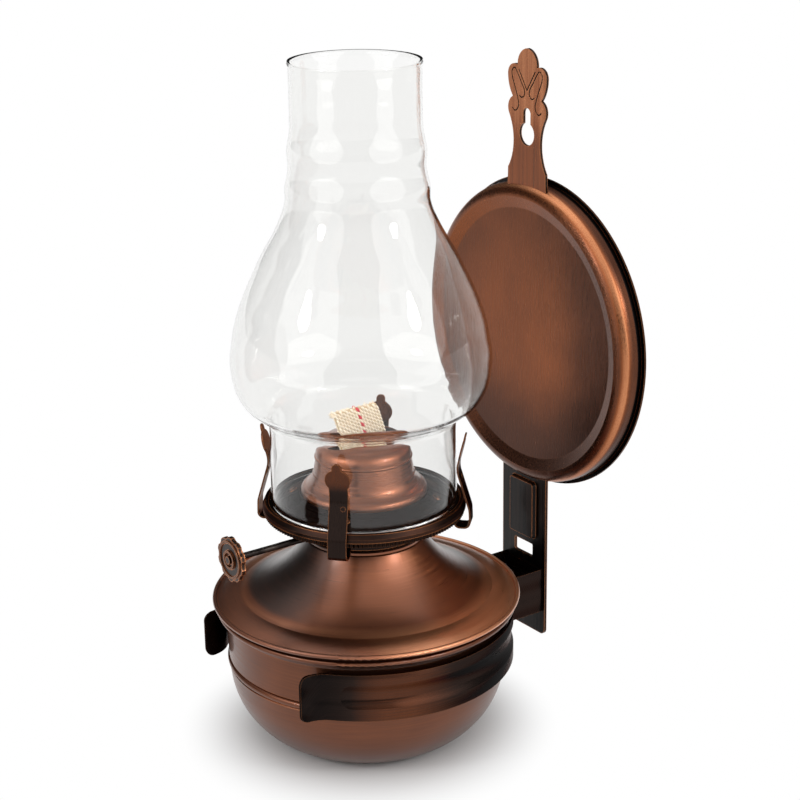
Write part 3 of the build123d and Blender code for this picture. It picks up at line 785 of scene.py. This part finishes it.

# Finishes of the reflector, the strap and the clip.
# the reflector's fades: darker outwards, below and towards +X; a paler ring and a brighter roll that are
# painted highlights; painted shade in the crease past the roll; a black back brim
PAN_TONE_AND_PAINTED_LIGHT = (Fade(Measure.PAN_RADIUS, 14.0, 42.4, -0.1), Fade(Measure.PAN_RADIUS, 42.3, 42.8, 0.08),
             Fade(Measure.PAN_RADIUS, 48.4, 50.1, 0.4), Fade(Measure.PAN_RADIUS, 50.4, 50.8, -0.42),
             Fade(Measure.HEIGHT, 116.0, 80.0, -0.18), Fade(Measure.WIDTH, 6.0, 42.0, -0.14),
             Fade(Measure.DEPTH, 69.8, 70.6, -0.9))
STRAP_FADES = (Fade(Measure.HEIGHT, 110.0, 165.0, 0.62), Fade(Measure.HEIGHT, 184.0, 198.0, 0.16))
# the clip's fades: a brown painted sheen along the middle of the arm, and darker again towards the back
CLIP_PAINTED_SHEEN = (Fade(Measure.DEPTH, -38.0, -22.0, 0.46), Fade(Measure.DEPTH, -16.0, 4.0, -0.3))
BRACKET_LOOKS = {
    # upright brush lines, darker outwards, below and to the right, a paler ring and a bright rolled edge that
    # are painted highlights, painted shade in the crease beyond, and a black brim
    "pan": Lacquered("reflector_copper", 0.69, 0.07, 0.06, roughness=0.28, coat=0.04, coat_roughness=0.26,
                     brush_mm=0.25, stroke_mm=9.0, fades=PAN_TONE_AND_PAINTED_LIGHT),
    # black below, brushed to copper towards the head in long coarse lines, with black cut sides
    "strap": Lacquered("strap_copper", 0.06, 0.05, 0.2, roughness=0.3, brush_mm=1.6, stroke_mm=60.0,
                       worn_edge_mm=0.6, black_sides=0.8, fades=STRAP_FADES),
    # almost black, with a brown painted sheen along the middle of the arm between its flared end and the back
    "clip": Lacquered("clip_blackened_copper", 0.06, 0.06, 0.05, Grain.ROUND, roughness=0.24, coat=0.06,
                      worn=0.3, worn_edge_mm=0.25, edge_tint="#86706a", relief=Swell(33.9, 9.2, 0.7),
                      fades=CLIP_PAINTED_SHEEN),
    # engraved lines: a dark line of painted shade where the groove lies, and a narrow painted highlight
    # beside it on one side
    "line": Plain("engraved_painted_shade", "#120f0e", "#0a0808", 0.5),
    "line_painted_highlight": Plain("engraved_painted_highlight_copper", "#c98a62", "#a8683f", 0.4)}

# Finishes of the burner, the feed, the glass and the wick.
GALLERY_FADES = (Fade(Measure.RADIUS, 30.6, 31.4, 0.14),)
PRONG_FADES = (Fade(Measure.HEIGHT, 93.0, 98.0, 0.3),)
BURNER_LOOKS = {
    # smooth satin copper
    "dome": Lacquered("dome_copper", 0.7, 0.1, 0.03, Grain.ROUND, roughness=0.3, coat=0.6,
                      coat_roughness=0.2, brush_mm=0.12, brush_deep=0.04),
    # almost black, a little browner on the outer flange
    "gallery": Lacquered("gallery_blackened_copper", 0.12, 0.08, 0.06, Grain.ROUND, roughness=0.3, coat=0.0,
                         worn_edge_mm=0.5, edge_tint="#a89690", fades=GALLERY_FADES),
    # black teeth with hardly worn crests
    "knurl": Lacquered("knurled_blackened_copper", 0.08, 0.06, 0.03, Grain.ROUND, coat=0.0, worn=0.1,
                       edge_tint="#c0aaa0"),
    # near black with worn copper edges
    "black": Lacquered("blackened_copper", 0.13, 0.06, 0.05, roughness=0.3, coat=0.06, edge_tint="#c8b4aa"),
    # dark brown springs, more coppery at the spade tips
    "prong": Lacquered("prong_copper", 0.18, 0.05, 0.05, roughness=0.3, coat=0.06, edge_tint="#c8b0a4",
                       fades=PRONG_FADES),
    # dark copper with bright worn scallops
    "knob": Lacquered("knob_copper", 0.26, 0.05, 0.05, roughness=0.3, worn=0.95, worn_edge_mm=0.8),
    # yellow brass with brown tarnish, and dark grey wire
    "brass": Plain("drawn_brass", "#b08a4c", "#7a5c30", 0.3),
    "steel": Plain("oxidised_steel", "#3a3431", "#1e1a19", 0.32),
    "glass": BlownGlass(),
    # cream yarn, the red thread in it, and the shade between the stitches
    "cotton": Cotton("cotton_yarn", "#fff4e2", "#e6d0ac"),
    "tracer": Cotton("red_cotton_yarn", "#e2303f", "#b52333"),
    "hollow": Cotton("cotton_in_shade", "#d6ba90", "#b0926a")}


def make_finishes() -> Finishes:
    """Make every material once, by its short name."""
    looks: dict[str, Any] = FOUNT_LOOKS | BRACKET_LOOKS | BURNER_LOOKS
    return {name: look.material() for name, look in looks.items()}


class Dressed:
    """A sub-assembly whose CAD nodes take one finish each."""

    finish_of: dict[str, str] = {}

    def dress(self, nodes: Nodes, finishes: Finishes) -> None:
        """Dress the CAD nodes.

        Args:
            nodes: the frame's nodes by name.
            finishes: the lamp's finishes.
        """
        for name, look in self.finish_of.items():
            finish = finishes[look]
            data = nodes[name].data
            data.materials.clear()
            data.materials.append(finish)
            LOG.info("node %s dressed as %s", name, finish.name)


@dataclass
class Chimney(Dressed):
    """Blown chimney: base tube, crease, bulge, two ribs, neck and a fire-polished lip."""

    finish_of = {"chimney": "glass"}
    wall_mm: float = 0.85
    polish_mm: float = 0.4
    polish_steps: int = 6
    polish_from: float = 50.0
    base_mm: float = 29.6
    bulge_mm: float = 41.0
    neck_mm: float = 20.1
    foot_z: float = 80.2
    bulge_z: float = 126.4
    top_z: float = 220.6
    line_steps: int = 10
    turn_steps: int = 160
    sharp: float = 60.0

    def outline(self) -> list[Vector]:
        """Draw the outer wall from the foot to the lip.

        Returns:
            Points in the XZ plane, in metres.
        """
        base, bulge, neck = self.base_mm, self.bulge_mm, self.neck_mm
        foot = [(base - 0.35, self.foot_z), (base, self.foot_z + 0.5), (base, 95.0), (base, 106.6)]
        crease = [(base + 0.3, 108.4), (base + 1.8, 110.2), (bulge - 6.1, 112.6), (bulge - 2.6, 116.2)]
        belly = [(bulge, self.bulge_z), (bulge - 0.7, 134.0), (bulge - 2.4, 141.8), (bulge - 9.3, 158.2)]
        ribs = [(neck + 4.5, 171.4), (neck + 2.2, 178.2), (neck + 2.1, 182.4), (neck + 1.0, 188.0),
                (neck + 1.2, 193.8), (neck + 0.2, 199.4)]
        lip = [(neck, 206.0), (neck, 216.0), (neck + 0.1, 219.0), (neck + 0.3, self.top_z - 0.5),
               (neck + 0.15, self.top_z)]
        return smooth_line(foot + crease + belly + ribs + lip, self.line_steps)

    def build(self, finishes: Finishes) -> None:
        """Blow the glass.

        Args:
            finishes: the lamp's finishes.
        """
        mesh = spun(self.outline(), self.turn_steps)
        piece = make_piece("chimney_glass", mesh, finishes["glass"], "chimney", self.sharp)
        wall = piece.modifiers.new("wall", "SOLIDIFY")
        wall.thickness = self.wall_mm * MM
        wall.offset = -1.0
        wall.use_even_offset = True
        round_edge = piece.modifiers.new("fire_polish", "BEVEL")
        round_edge.width = self.polish_mm * MM
        round_edge.segments = self.polish_steps
        round_edge.limit_method = "ANGLE"
        round_edge.angle_limit = math.radians(self.polish_from)
        piece.visible_shadow = False
        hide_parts("chimney")


@dataclass
class Wick(Dressed):
    """Flat woven wick: slanted stitches with a red tracer, leaning and frayed where it leaves the dome."""

    finish_of = {"wick": "cotton"}
    wide_mm: float = 16.6
    thick_mm: float = 2.6
    bottom_z: float = 20.0
    top_z: float = 112.0
    lean_from_z: float = 101.5
    lean: float = 0.3
    core_share: float = 0.62
    core_inset_mm: float = 0.7
    core_below_mm: float = 0.5
    core_cuts: int = 80
    columns: int = 16
    rise_mm: float = 1.45
    stitch_mm: float = 1.8
    stitch_thick_mm: float = 0.84
    stitch_fill: float = 0.9
    stitch_sides: int = 6
    stitch_rings: int = 4
    slant: float = 24.0
    woven_from_z: float = 21.5
    tracer_column: int = 8
    tracer_swell: float = 1.25
    loose_ends: int = 26
    loose_mm: float = 2.2
    loose_root_mm: float = 0.34
    loose_tip_mm: float = 0.14
    loose_sides: int = 5
    loose_out: float = 0.4
    loose_seed: int = 5
    loose_spread_mm: float = 0.7
    corner_drop_mm: Point = (0.4, 2.2)
    corner_tilt: Point = (70.0, 100.0)
    corner_share: Point = (0.6, 1.0)
    edge_tilt: Point = (-25.0, 35.0)
    edge_share: Point = (0.3, 0.5)
    sharp: float = 70.0

    def lean_at(self, place: Vector) -> Vector:
        """Move a point of the straight wick, in metres, to where the leaning one has it."""
        over = max(0.0, place.z / MM - self.lean_from_z)
        return place + Vector((0.0, -self.lean * over * MM, 0.0))

    def core(self, mesh: Mesh) -> None:
        """Put the flat inner layer of the wick into the mesh.

        Args:
            mesh: the wick's bmesh.
        """
        height = self.top_z - self.bottom_z - self.core_below_mm
        block = bmesh.ops.create_cube(mesh, size=1.0)["verts"]
        size = Vector((self.thick_mm * self.core_share, self.wide_mm - self.core_inset_mm, height))
        bmesh.ops.scale(mesh, vec=size * MM, verts=block)
        bmesh.ops.translate(mesh, vec=(0, 0, (self.bottom_z + height / 2) * MM), verts=block)
        upright = [e for e in mesh.edges if abs(e.verts[0].co.z - e.verts[1].co.z) > height / 2 * MM]
        bmesh.ops.subdivide_edges(mesh, edges=upright, cuts=self.core_cuts, use_grid_fill=True)
        for polygon in mesh.faces:
            polygon.material_index = 2

    def row(self, red: bool) -> bpy.types.Mesh:
        """Weave one row of stitches on both faces at height zero.

        Args:
            red: whether the tracer shows in this row.

        Returns:
            The row as a mesh.
        """
        mesh = bmesh.new()
        pitch = self.wide_mm / self.columns
        out = self.thick_mm / 2 - self.stitch_thick_mm / 2
        for column in range(self.columns):
            y = -self.wide_mm / 2 + (column + 0.5) * pitch
            shift = self.rise_mm / 2 * (column % 2)
            traced = red and column == self.tracer_column
            swell = self.tracer_swell if traced else 1.0
            size = (self.stitch_thick_mm * MM, pitch * self.stitch_fill * swell * MM,
                    self.stitch_mm * swell * MM, 1.0)
            for face in (-1.0, 1.0):
                made = bmesh.ops.create_uvsphere(mesh, u_segments=self.stitch_sides,
                                                 v_segments=self.stitch_rings, radius=0.5)["verts"]
                shape = (Matrix.Translation(Vector((face * out, y, -shift)) * MM)
                         @ Matrix.Rotation(math.radians(self.slant), 4, "X") @ Matrix.Diagonal(size))
                bmesh.ops.transform(mesh, matrix=shape, verts=made)
                if traced:
                    for vert in made:
                        for polygon in vert.link_faces:
                            polygon.material_index = 1
        data = bpy.data.meshes.new("wick_row")
        mesh.to_mesh(data)
        mesh.free()
        return data

    def fray(self, mesh: Mesh) -> None:
        """Let loose yarn ends stand out of the cut top edge, every other one at the front corner.

        Args:
            mesh: the wick's bmesh.
        """
        pick = random.Random(self.loose_seed)
        half = self.wide_mm / 2
        for index in range(self.loose_ends):
            corner = index % 2 == 0
            y = -half + 0.5 if corner else pick.uniform(-half + 1.0, half - 0.6)
            z = self.top_z - (pick.uniform(*self.corner_drop_mm) if corner else self.core_below_mm)
            tilt = math.radians(pick.uniform(*(self.corner_tilt if corner else self.edge_tilt)))
            length = self.loose_mm * pick.uniform(*(self.corner_share if corner else self.edge_share))
            made = bmesh.ops.create_cone(mesh, cap_ends=True, segments=self.loose_sides,
                                         radius1=self.loose_root_mm * MM, radius2=self.loose_tip_mm * MM,
                                         depth=length * MM)["verts"]
            x = pick.uniform(-self.loose_spread_mm, self.loose_spread_mm)
            shape = (Matrix.Translation(Vector((x, y, z)) * MM) @ Matrix.Rotation(tilt, 4, "X")
                     @ Matrix.Translation((0.0, 0.0, length * self.loose_out * MM)))
            bmesh.ops.transform(mesh, matrix=shape, verts=made)

    def build(self, finishes: Finishes) -> None:
        """Weave the wick.

        Args:
            finishes: the lamp's finishes.
        """
        mesh = bmesh.new()
        self.core(mesh)
        rows = {red: self.row(red) for red in (False, True)}
        count = int((self.top_z - self.woven_from_z) / self.rise_mm)
        for index in range(count):
            before = len(mesh.verts)
            mesh.from_mesh(rows[index % 2 == 0])
            mesh.verts.ensure_lookup_table()
            lift = (self.top_z - self.stitch_mm / 2 - index * self.rise_mm) * MM
            bmesh.ops.translate(mesh, vec=(0, 0, lift), verts=mesh.verts[before:])
        self.fray(mesh)
        for vert in mesh.verts:
            vert.co = self.lean_at(vert.co)
        for data in rows.values():
            bpy.data.meshes.remove(data)
        piece = make_piece("woven_wick", mesh, finishes["cotton"], "wick", self.sharp)
        piece.data.materials.append(finishes["tracer"])
        piece.data.materials.append(finishes["hollow"])
        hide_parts("wick")


class Fount(Dressed):
    """Bowl, lid and the threaded collar that takes the burner."""

    finish_of = {"fount_bowl": "bowl", "fount_lid": "lid", "fount_collar": "threaded"}


@dataclass
class Burner(Dressed):
    """Screw plug with air chamber, gallery, dome, wick tube and the four prongs with their rivets."""

    finish_of = {"burner_base": "black", "prong_rivets": "black", "gallery_plate": "gallery",
                 "burner_dome": "dome", "shaft_bush": "brass", "wick_tube": "brass",
                 "prong_front_left": "prong", "prong_front_right": "prong", "prong_back_left": "prong",
                 "prong_back_right": "prong"}
    plug_mm: float = 15.7
    thread_deep_mm: float = 0.2
    thread_sunk_mm: float = 0.05
    thread_pitch_mm: float = 1.6
    thread_shares: tuple[float, ...] = (0.0, 0.3, 0.45, 0.75)
    thread_from_z: float = 63.4
    thread_turns: int = 3
    thread_sharp: float = 30.0
    turn_steps: int = 96
    skirt_mm: float = 31.7
    skirt_from_z: float = 76.65
    skirt_to_z: float = 78.15
    knurl_teeth: int = 150
    knurl_deep_mm: float = 0.45
    knurl_shrink: float = 0.975
    knurl_sharp: float = 20.0

    def build(self, finishes: Finishes) -> None:
        """Make the rolled pieces that the eye finds on the turned ones."""
        self.plug_thread(finishes)
        self.skirt_knurl(finishes)

    def skirt_knurl(self, finishes: Finishes) -> None:
        """Roll the row of fine teeth round the gallery's skirt, closed towards the skirt at the top.

        Args:
            finishes: the lamp's finishes.
        """
        mesh = bmesh.new()
        points = 2 * self.knurl_teeth
        ring = bmesh.ops.create_circle(mesh, segments=points, radius=self.skirt_mm * MM)["verts"]
        out = 1.0 + self.knurl_deep_mm / self.skirt_mm
        bmesh.ops.scale(mesh, verts=ring[::2], vec=(out, out, 1.0))
        bmesh.ops.translate(mesh, verts=ring, vec=UP * self.skirt_from_z * MM)
        lower = list(mesh.edges)
        for rise, shrink in ((self.skirt_to_z - self.skirt_from_z, 1.0), (0.0, self.knurl_shrink)):
            made = bmesh.ops.extrude_edge_only(mesh, edges=lower)["geom"]
            moved = [item for item in made if isinstance(item, bmesh.types.BMVert)]
            bmesh.ops.translate(mesh, verts=moved, vec=UP * rise * MM)
            bmesh.ops.scale(mesh, verts=moved, vec=(shrink, shrink, 1.0))
        bmesh.ops.recalc_face_normals(mesh, faces=mesh.faces)
        make_piece("skirt_knurl", mesh, finishes["knurl"], "burner", self.knurl_sharp)

    def plug_thread(self, finishes: Finishes) -> None:
        """Roll the thread on the plug.

        Args:
            finishes: the lamp's finishes.
        """
        root, crest = self.plug_mm - self.thread_sunk_mm, self.plug_mm + self.thread_deep_mm
        pitch = self.thread_pitch_mm
        heights = [self.thread_from_z + share * pitch for share in self.thread_shares]
        mesh = bmesh.new()
        verts = [mesh.verts.new((radius * MM, 0.0, z * MM))
                 for radius, z in zip((root, crest, crest, root), heights)]
        edges = [mesh.edges.new(pair) for pair in zip(verts, verts[1:])]
        bmesh.ops.spin(mesh, geom=verts + edges, cent=(0, 0, 0), axis=UP,
                       dvec=UP * pitch / self.turn_steps * MM, angle=math.tau * self.thread_turns,
                       steps=self.turn_steps * self.thread_turns)
        bmesh.ops.recalc_face_normals(mesh, faces=mesh.faces)
        make_piece("plug_thread", mesh, finishes["black"], "burner", self.thread_sharp)


class Feed(Dressed):
    """Shaft, toothed wheels and knob that wind the wick."""

    finish_of = {"wick_shaft": "steel", "feed_wheels": "steel", "wick_knob": "knob"}


@dataclass
class Bracket(Dressed):
    """Spring clip, strap with an engraved head, and reflector."""

    finish_of = {"clamp_clip": "clip", "clip_rivets": "black", "wall_strap": "strap", "reflector": "pan"}
    strap_y: float = 65.8
    sunk_mm: float = 0.04
    # the engraved lines are ribbons laid proud of the face: a dark one of painted shade, and beside it,
    # shifted to one side, a narrow one of painted highlight
    line_mm: float = 0.8
    line_proud_mm: float = 0.05
    edge_mm: float = 0.3
    highlight_proud_mm: float = 0.03
    highlight_shift: Point = (0.36, -0.12)
    line_steps: int = 6
    sharp: float = 60.0
    vee: tuple[Point, ...] = ((0.0, 204.0), (2.05, 207.2), (4.1, 210.4))
    loop: tuple[Point, ...] = (
        (3.8, 202.0), (2.6, 201.5), (1.3, 202.5), (1.35, 204.0), (3.25, 206.9), (5.2, 209.7), (6.2, 210.6),
        (7.4, 209.9), (7.6, 208.3), (6.1, 204.7), (4.6, 201.0), (4.15, 199.2), (4.6, 197.9), (6.0, 196.9),
        (7.3, 197.7))

    def groove(self, mesh: Mesh, line: Sequence[Vector], wide_mm: float, proud_mm: float) -> None:
        """Lay one engraved line on the strap's face.

        Args:
            mesh: the bmesh that takes the line.
            line: its places in the XZ plane, in metres.
            wide_mm: its width.
            proud_mm: how far its middle stands before the face.
        """
        back, front = (Vector((0.0, (self.strap_y + y) * MM, 0.0)) for y in (self.sunk_mm, -proud_mm))
        rails: list[list[bmesh.types.BMVert]] = []
        for index, place in enumerate(line):
            ahead = line[min(index + 1, len(line) - 1)] - line[max(index - 1, 0)]
            aside = Vector((-ahead.z, 0.0, ahead.x)).normalized() * wide_mm / 2 * MM
            across = (place - aside + back, place + front, place + aside + back)
            rails.append([mesh.verts.new(corner) for corner in across])
        for one, two in zip(rails, rails[1:]):
            for side in (0, 1):
                mesh.faces.new((one[side], two[side], two[side + 1], one[side + 1]))

    def build(self, finishes: Finishes) -> None:
        """Engrave the strap's head with a vee and two slanted loops that end in the lower lobes.

        Args:
            finishes: the lamp's finishes.
        """
        # each engraved line is a dark ribbon of painted shade, with a narrow ribbon of painted highlight
        # shifted to one side of it
        cuts = ((finishes["line"], "engraved_lines", self.line_mm, (0.0, 0.0), self.line_proud_mm),
                (finishes["line_painted_highlight"], "engraved_painted_highlights", self.edge_mm, self.highlight_shift, self.highlight_proud_mm))
        for finish, name, wide, shift, proud in cuts:
            mesh = bmesh.new()
            for way in (-1.0, 1.0):
                for points in (self.vee, self.loop):
                    moved = [(way * x + shift[0], z + shift[1]) for x, z in points]
                    self.groove(mesh, smooth_line(moved, self.line_steps), wide, proud)
            bmesh.ops.recalc_face_normals(mesh, faces=mesh.faces)
            make_piece(name, mesh, finish, "bracket", self.sharp)


@dataclass
class Lamp:
    """The whole lamp: its CAD nodes dressed, and the pieces that are new or replace a node."""

    nodes: Nodes

    def build(self, finishes: Finishes) -> None:
        """Dress the nodes and make the new pieces.

        Args:
            finishes: the lamp's finishes.
        """
        for assembly in (Fount(), Burner(), Feed(), Bracket(), Chimney(), Wick()):
            assembly.dress(self.nodes, finishes)
        for made in (Burner(), Chimney(), Wick(), Bracket()):
            made.build(finishes)


def main() -> None:
    """Build the studio and the lamp."""
    logging.basicConfig(level=logging.INFO, format="%(message)s")
    for thing in list(bpy.data.objects):
        bpy.data.objects.remove(thing)
    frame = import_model()
    bpy.context.scene.view_settings.view_transform = "Standard"
    finishes = make_finishes()
    Studio().build()
    Lamp(frame["nodes"]).build(finishes)


if __name__ == "__main__":
    main()
